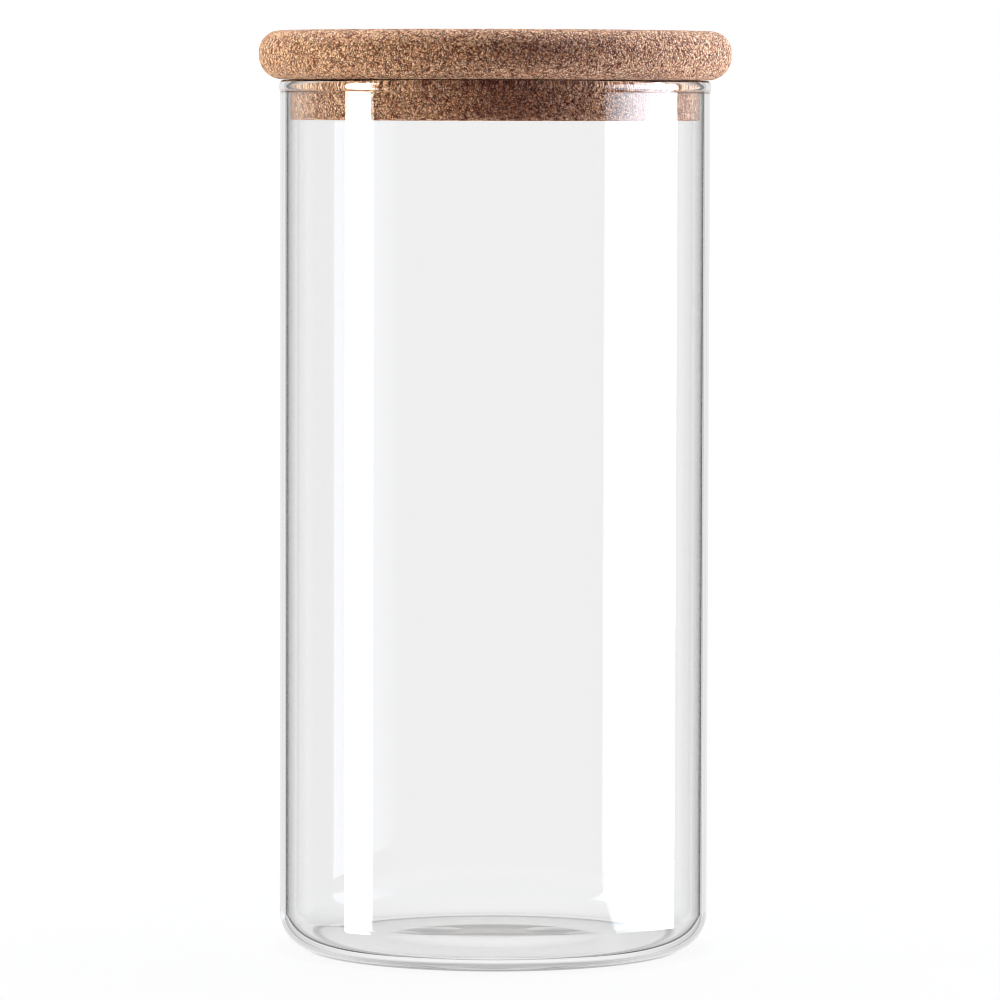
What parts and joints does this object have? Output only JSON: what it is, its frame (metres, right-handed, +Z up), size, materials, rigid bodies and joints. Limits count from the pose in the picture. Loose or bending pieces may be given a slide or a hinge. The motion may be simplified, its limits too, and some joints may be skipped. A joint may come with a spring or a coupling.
{
  "type": "storage jar with cork lid",
  "caption": "Tall straight-walled clear glass storage jar with a beaded rim and rounded base, closed by a lift-off cork lid whose plug sits in the mouth.",
  "frame": {"origin": "centre of the standing ring, on the surface that the jar stands on", "axes": "+Z up along the jar's axis, the way the lid lifts off; X and Y are alike, because the jar is round"},
  "size_m": [0.121, 0.121, 0.2356],
  "materials": {
    "clear_glass": "gloss",
    "cork": "matte"
  },
  "bodies": {
    "jar": {"glass_jar": "clear_glass"},
    "lid": {"lid_cap": "cork", "lid_plug": "cork"}
  },
  "joints": [
    {"name": "lid_lift", "type": "slide", "parent": "jar", "child": "lid", "axis": [0, 0, 1], "range_m": [0, 0.12]}
  ]
}
